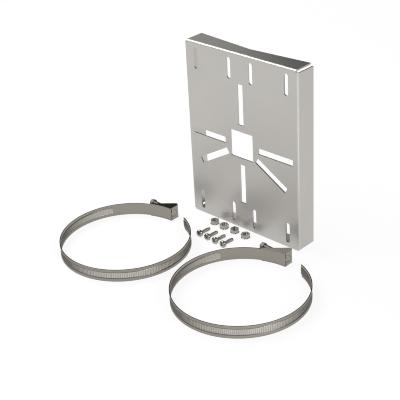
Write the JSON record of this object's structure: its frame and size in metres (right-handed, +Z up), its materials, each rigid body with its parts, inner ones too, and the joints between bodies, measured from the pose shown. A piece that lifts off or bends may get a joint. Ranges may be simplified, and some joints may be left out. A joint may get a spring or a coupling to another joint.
{
  "type": "camera pole mount bracket",
  "caption": "Folded stainless plate with radial slots, window and V-notched back edge for a camera on a pole, with loose strap clamps, screws and toothed lock nuts.",
  "frame": {"origin": "on the underside of the plate's lower flange, under the middle of the plate, 10 mm behind its front face", "axes": "+Z up the standing plate, -Y out of the plate's front face towards the camera it carries and the loose pieces, +X to the right as seen from the plate's front"},
  "size_m": [0.2953, 0.1965, 0.2],
  "materials": {
    "mounting_plate": "satin",
    "clamp_strap": "satin",
    "clamp_housing": "satin",
    "clamp_worm": "satin",
    "machine_screw": "satin",
    "lock_nut": "satin",
    "tooth_washer": "satin"
  },
  "bodies": {
    "kit": {"mounting_plate": "mounting_plate", "clamp_strap_1": "clamp_strap", "clamp_housing_1": "clamp_housing", "clamp_strap_2": "clamp_strap", "clamp_housing_2": "clamp_housing", "machine_screw_1": "machine_screw", "machine_screw_2": "machine_screw", "machine_screw_3": "machine_screw", "machine_screw_4": "machine_screw", "lock_nut_1": "lock_nut", "lock_nut_2": "lock_nut", "lock_nut_3": "lock_nut", "lock_nut_4": "lock_nut"},
    "worm_1": {"clamp_worm_1": "clamp_worm"},
    "worm_2": {"clamp_worm_2": "clamp_worm"},
    "washer_1": {"tooth_washer_1": "tooth_washer"},
    "washer_2": {"tooth_washer_2": "tooth_washer"},
    "washer_3": {"tooth_washer_3": "tooth_washer"},
    "washer_4": {"tooth_washer_4": "tooth_washer"}
  },
  "joints": [
    {"name": "worm_1_turn", "type": "hinge", "parent": "kit", "child": "worm_1", "pos_m": [-0.07583, -0.04041, 0.00752], "axis": [-0.9971, 0.0767, 0.0013], "continuous": true},
    {"name": "worm_2_turn", "type": "hinge", "parent": "kit", "child": "worm_2", "pos_m": [0.08147, -0.03541, 0.00752], "axis": [-0.9971, 0.0767, 0.0013], "continuous": true},
    {"name": "washer_1_turn", "type": "hinge", "parent": "kit", "child": "washer_1", "pos_m": [-0.0344, -0.0199, 0.0006], "axis": [0, 0, 1], "continuous": true},
    {"name": "washer_2_turn", "type": "hinge", "parent": "kit", "child": "washer_2", "pos_m": [-0.02, -0.0207, 0.0006], "axis": [0, 0, 1], "continuous": true},
    {"name": "washer_3_turn", "type": "hinge", "parent": "kit", "child": "washer_3", "pos_m": [-0.0049, -0.0206, 0.0006], "axis": [0, 0, 1], "continuous": true},
    {"name": "washer_4_turn", "type": "hinge", "parent": "kit", "child": "washer_4", "pos_m": [0.0113, -0.0216, 0.0006], "axis": [0, 0, 1], "continuous": true}
  ]
}
